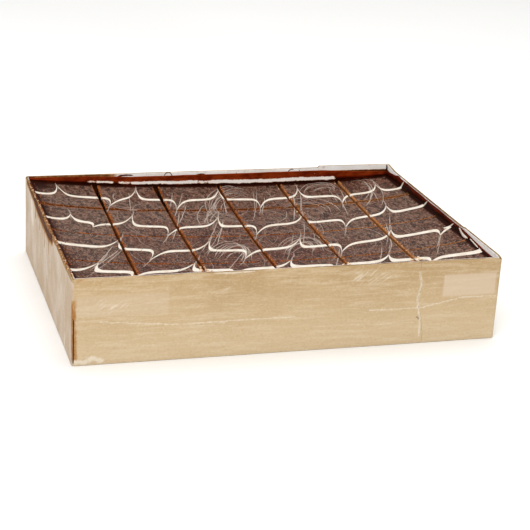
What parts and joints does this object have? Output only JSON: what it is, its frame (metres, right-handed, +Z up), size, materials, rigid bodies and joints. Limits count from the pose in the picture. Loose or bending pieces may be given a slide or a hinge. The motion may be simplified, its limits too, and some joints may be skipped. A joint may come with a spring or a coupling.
{
  "type": "chocolate truffle mousse cake",
  "caption": "Dark glazed chocolate mousse traybake with feathered white icing, cut into squares in its open card tray.",
  "frame": {"origin": "middle of the flat underside of the tray, on the surface it stands on", "axes": "+X along the tray's length to the right as seen in the picture, +Y towards the back, +Z up"},
  "size_m": [0.406, 0.3, 0.0838],
  "materials": {
    "board": "matte",
    "glaze": "gloss",
    "cake": "satin"
  },
  "bodies": {
    "root": {"tray": "board", "wall_glaze": "glaze", "cake_r1_c1": "cake", "cake_r1_c2": "cake", "cake_r1_c3": "cake", "cake_r1_c4": "cake", "cake_r1_c5": "cake", "cake_r1_c6": "cake", "cake_r2_c1": "cake", "cake_r2_c2": "cake", "cake_r2_c3": "cake", "cake_r2_c4": "cake", "cake_r2_c5": "cake", "cake_r2_c6": "cake", "cake_r3_c1": "cake", "cake_r3_c2": "cake", "cake_r3_c3": "cake", "cake_r3_c4": "cake", "cake_r3_c5": "cake", "cake_r3_c6": "cake", "cake_r4_c1": "cake", "cake_r4_c2": "cake", "cake_r4_c3": "cake", "cake_r4_c4": "cake", "cake_r4_c5": "cake", "cake_r4_c6": "cake"}
  },
  "joints": []
}
